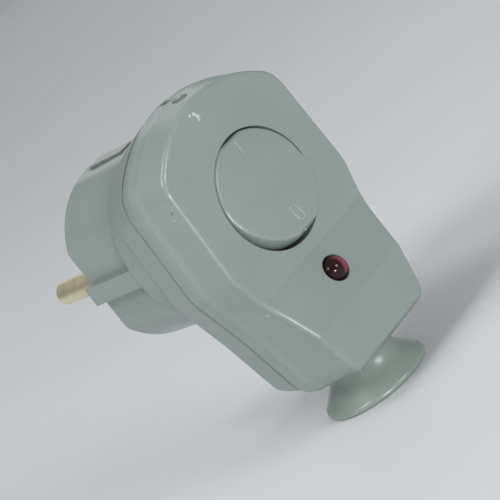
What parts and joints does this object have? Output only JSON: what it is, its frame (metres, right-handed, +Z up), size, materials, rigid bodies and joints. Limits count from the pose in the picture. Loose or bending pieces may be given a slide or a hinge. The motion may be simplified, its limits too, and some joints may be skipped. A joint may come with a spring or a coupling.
{
  "type": "switched angle plug",
  "caption": "Grey angled two-pin earthed plug with a round rocker switch in its face, a red neon indicator on a ramp below and a flared bend protector at the cord exit.",
  "frame": {"origin": "centre of the engagement face, halfway between the two contact pins", "axes": "+Y along the contact pins, away from the housing; -Y is the switch face; +Z up, with the cord leaving along -Z; +X to the right seen from the switch face"},
  "size_m": [0.0436, 0.063, 0.0683],
  "materials": {
    "housing": "moulded grey-green plastic, satin",
    "rocker": "moulded grey-green plastic, satin",
    "guard": "soft grey-green plastic, satin",
    "inner_plastic": "ivory thermoset, matt",
    "red_lens": "dark red translucent, glossy",
    "lamp_glass": "clear glass",
    "resistor": "lacquered",
    "wire": "tinned copper",
    "brass_plain": "stamped brass",
    "pin_brass": "nickel-washed brass, turned",
    "clip_metal": "nickel-plated spring strip",
    "steel": "zinc-plated steel"
  },
  "bodies": {
    "housing": {"front_cover": "housing", "rear_shell": "housing", "bend_protector": "guard", "switch_frame": "inner_plastic", "pin_carrier": "inner_plastic", "cord_clamp_bar": "inner_plastic", "indicator_lens": "red_lens", "neon_lamp": "lamp_glass", "neon_resistor": "resistor", "neon_leads": "wire", "earth_sleeve": "brass_plain", "earth_bridge": "brass_plain", "earth_terminal": "brass_plain", "terminal_screws": "steel", "clamp_screws": "steel", "cover_screws": "steel", "fulcrum_terminal_left": "brass_plain", "output_contact_left": "brass_plain", "contact_pin_left": "pin_brass", "pin_link_left": "brass_plain", "cord_terminal_left": "brass_plain", "fulcrum_terminal_right": "brass_plain", "output_contact_right": "brass_plain", "contact_pin_right": "pin_brass", "pin_link_right": "brass_plain", "cord_terminal_right": "brass_plain"},
    "rocker": {"rocker_button": "rocker", "plunger_spring_left": "steel", "plunger_spring_right": "steel"},
    "plunger_left": {"rocker_plunger_left": "inner_plastic"},
    "plunger_right": {"rocker_plunger_right": "inner_plastic"},
    "bridge_left": {"contact_bridge_left": "brass_plain"},
    "bridge_right": {"contact_bridge_right": "brass_plain"},
    "clip_top": {"earth_clip_top": "clip_metal"},
    "clip_bottom": {"earth_clip_bottom": "clip_metal"}
  },
  "joints": [
    {"name": "rocker_tilt", "type": "hinge", "parent": "housing", "child": "rocker", "pos_m": [0, -0.0368, 0], "axis": [1, 0, 0], "range_deg": [0, 17]},
    {"name": "bridge_left_tilt", "type": "hinge", "parent": "housing", "child": "bridge_left", "pos_m": [-0.005, -0.0261, 0], "axis": [1, 0, 0], "range_deg": [-14, 0]},
    {"name": "bridge_right_tilt", "type": "hinge", "parent": "housing", "child": "bridge_right", "pos_m": [0.005, -0.0261, 0], "axis": [1, 0, 0], "range_deg": [-14, 0]},
    {"name": "plunger_left_slide", "type": "slide", "parent": "rocker", "child": "plunger_left", "axis": [0, -0.989, 0.1478], "range_m": [0, 0.00025], "stiffness_N_per_m": 300, "springref_m": -0.001},
    {"name": "plunger_right_slide", "type": "slide", "parent": "rocker", "child": "plunger_right", "axis": [0, -0.989, 0.1478], "range_m": [0, 0.00025], "stiffness_N_per_m": 300, "springref_m": -0.001},
    {"name": "clip_top_flex", "type": "hinge", "parent": "housing", "child": "clip_top", "pos_m": [0, -0.015, 0.0136], "axis": [1, 0, 0], "range_deg": [-3, 0], "stiffness_Nm_per_rad": 0.05},
    {"name": "clip_bottom_flex", "type": "hinge", "parent": "housing", "child": "clip_bottom", "pos_m": [0, -0.015, -0.0136], "axis": [1, 0, 0], "range_deg": [0, 3], "stiffness_Nm_per_rad": 0.05}
  ],
  "couplings": [
    {"joint": "bridge_left_tilt", "follows": "rocker_tilt", "ratio": -0.8235},
    {"joint": "bridge_right_tilt", "follows": "rocker_tilt", "ratio": -0.8235}
  ]
}
